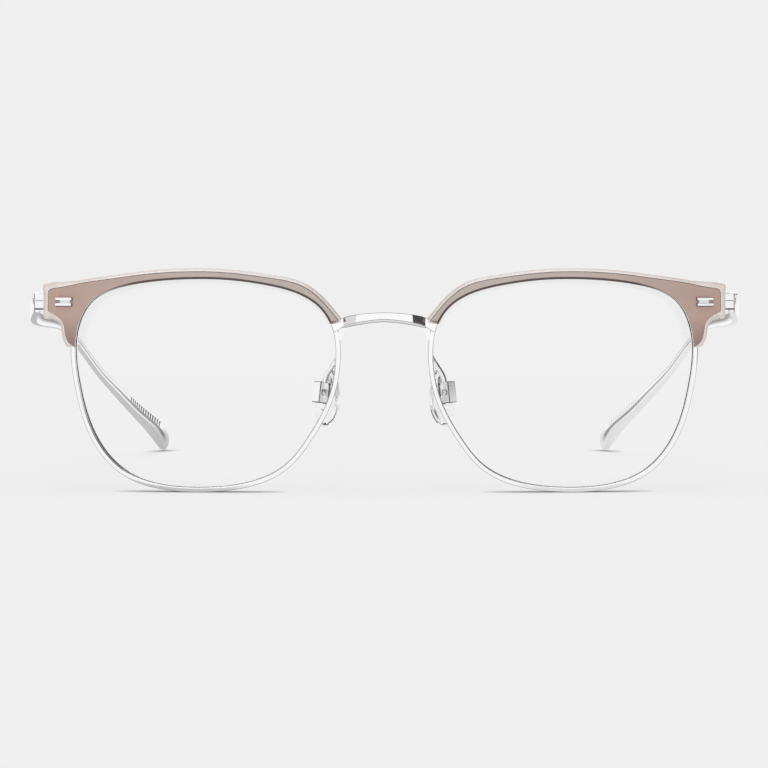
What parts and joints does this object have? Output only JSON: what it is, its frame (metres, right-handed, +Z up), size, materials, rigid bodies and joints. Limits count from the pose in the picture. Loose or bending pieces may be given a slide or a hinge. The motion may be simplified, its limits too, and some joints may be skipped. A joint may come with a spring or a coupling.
{
  "type": "eyeglass frame",
  "caption": "Browline eyeglass frame with thin metal eye wires, laminated brow bars, an arched bridge, rocking nose pads, clear lenses and folding temples.",
  "frame": {"origin": "centre of the bounding box on the surface that the frame stands on", "axes": "+Z up, -Y out of the front of the lenses, +X to the wearer's left"},
  "size_m": [0.1506, 0.1439, 0.0461],
  "materials": {
    "silver_metal": "polished silver plating over stainless steel",
    "screw_steel": "plain machined steel",
    "clear_lens": "clear, coated against reflections",
    "crystal_acetate": "polished pale pink crystal acetate",
    "taupe_acetate": "polished taupe acetate",
    "clear_silicone": "clear soft silicone, satin"
  },
  "bodies": {
    "front": {"bridge": "silver_metal", "eye_wire_left": "silver_metal", "eye_wire_right": "silver_metal", "lens_left": "clear_lens", "lens_right": "clear_lens", "brow_base_left": "crystal_acetate", "brow_base_right": "crystal_acetate", "brow_face_left": "taupe_acetate", "brow_face_right": "taupe_acetate", "brow_rivet_left": "silver_metal", "brow_rivet_right": "silver_metal", "end_block_upper_left": "silver_metal", "end_block_upper_right": "silver_metal", "end_block_lower_left": "silver_metal", "end_block_lower_right": "silver_metal", "closing_screw_left": "screw_steel", "closing_screw_right": "screw_steel", "hinge_front_left": "silver_metal", "hinge_front_right": "silver_metal", "hinge_screw_left": "screw_steel", "hinge_screw_right": "screw_steel", "pad_arm_left": "silver_metal", "pad_arm_right": "silver_metal", "pad_box_left": "silver_metal", "pad_box_right": "silver_metal", "pad_screw_left": "screw_steel", "pad_screw_right": "screw_steel"},
    "temple_left": {"temple_left": "silver_metal", "hinge_temple_left": "silver_metal"},
    "temple_right": {"temple_right": "silver_metal", "hinge_temple_right": "silver_metal"},
    "nose_pad_left": {"nose_pad_left": "clear_silicone", "pad_insert_left": "silver_metal"},
    "nose_pad_right": {"nose_pad_right": "clear_silicone", "pad_insert_right": "silver_metal"}
  },
  "joints": [
    {"name": "temple_left_fold", "type": "hinge", "parent": "front", "child": "temple_left", "pos_m": [0.06925, -0.05641, 0.03942], "axis": [0, 0, 1], "range_deg": [0, 86]},
    {"name": "temple_right_fold", "type": "hinge", "parent": "front", "child": "temple_right", "pos_m": [-0.06925, -0.05641, 0.03942], "axis": [0, 0, -1], "range_deg": [0, 83]},
    {"name": "nose_pad_left_rock", "type": "hinge", "parent": "front", "child": "nose_pad_left", "pos_m": [0.0133, -0.06437, 0.02042], "axis": [0.68, 0.7332, 0], "range_deg": [-8, 8]},
    {"name": "nose_pad_right_rock", "type": "hinge", "parent": "front", "child": "nose_pad_right", "pos_m": [-0.0133, -0.06437, 0.02042], "axis": [0.68, -0.7332, 0], "range_deg": [-8, 8]}
  ]
}
